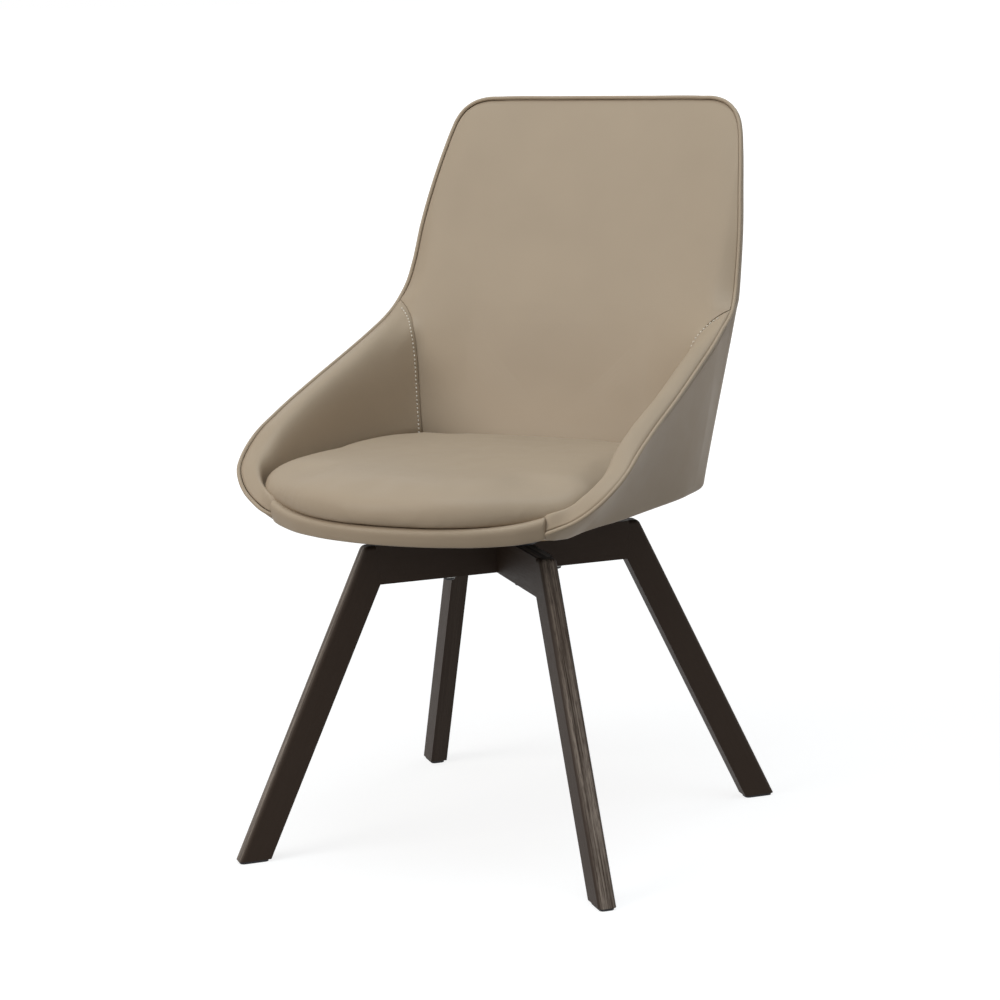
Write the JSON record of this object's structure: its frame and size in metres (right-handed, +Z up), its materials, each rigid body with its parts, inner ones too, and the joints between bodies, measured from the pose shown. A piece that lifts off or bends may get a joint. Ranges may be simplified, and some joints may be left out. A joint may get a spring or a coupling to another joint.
{
  "type": "swivel dining chair",
  "caption": "Upholstered tub dining chair with low swept arms and a tall back, turning on a crossed dark wooden base with splayed legs.",
  "frame": {"origin": "on the floor under the middle of the whole chair", "axes": "+Z up, the seat faces -Y, +X to the right when looking along +Y at the chair's front"},
  "size_m": [0.4938, 0.6118, 0.85],
  "materials": {
    "taupe_leather": "smooth coated leather, soft satin",
    "dark_wood": "dark stained beech, satin lacquer",
    "dowel_wood": "plain beech",
    "plywood": "unfinished plywood",
    "glide_plastic": "moulded, matt",
    "cage_plastic": "moulded, matt",
    "swivel_steel": "black powder coat",
    "black_steel": "blackened steel",
    "bright_steel": "zinc plated steel",
    "dust_cloth": "non-woven polypropylene",
    "pad_cloth": "calico over foam"
  },
  "bodies": {
    "base": {"cross_rail_lower": "dark_wood", "cross_rail_upper": "dark_wood", "leg_front_left": "dark_wood", "leg_front_right": "dark_wood", "leg_rear_left": "dark_wood", "leg_rear_right": "dark_wood", "glide_front_left": "glide_plastic", "glide_front_right": "glide_plastic", "glide_rear_left": "glide_plastic", "glide_rear_right": "glide_plastic", "leg_dowels": "dowel_wood", "glide_nails": "bright_steel", "base_bolts": "black_steel", "base_washers": "bright_steel", "base_nuts": "bright_steel", "swivel_lower_plate": "swivel_steel", "swivel_housing": "swivel_steel", "swivel_pivot": "bright_steel", "pivot_washer": "bright_steel", "pivot_nut": "bright_steel", "bearing_balls": "bright_steel", "ball_cage": "cage_plastic"},
    "seat": {"swivel_upper_plate": "swivel_steel", "seat_screws": "bright_steel", "t_nuts": "bright_steel", "seat_board": "plywood", "dust_cover": "dust_cloth", "dust_cover_staples": "bright_steel", "shell_screws": "bright_steel", "arm_pad_left": "taupe_leather", "arm_pad_right": "taupe_leather", "shell_arm_left": "plywood", "shell_arm_right": "plywood", "outer_cover_left": "taupe_leather", "outer_cover_right": "taupe_leather", "outer_cover_back": "taupe_leather", "back_pad": "taupe_leather", "shell_back": "plywood", "front_band": "taupe_leather", "piping": "taupe_leather", "seat_cushion": "taupe_leather", "seat_pad": "pad_cloth"}
  },
  "joints": [
    {"name": "seat_swivel", "type": "hinge", "parent": "base", "child": "seat", "pos_m": [0, -0.0155, 0.406], "axis": [0, 0, 1], "continuous": true}
  ]
}
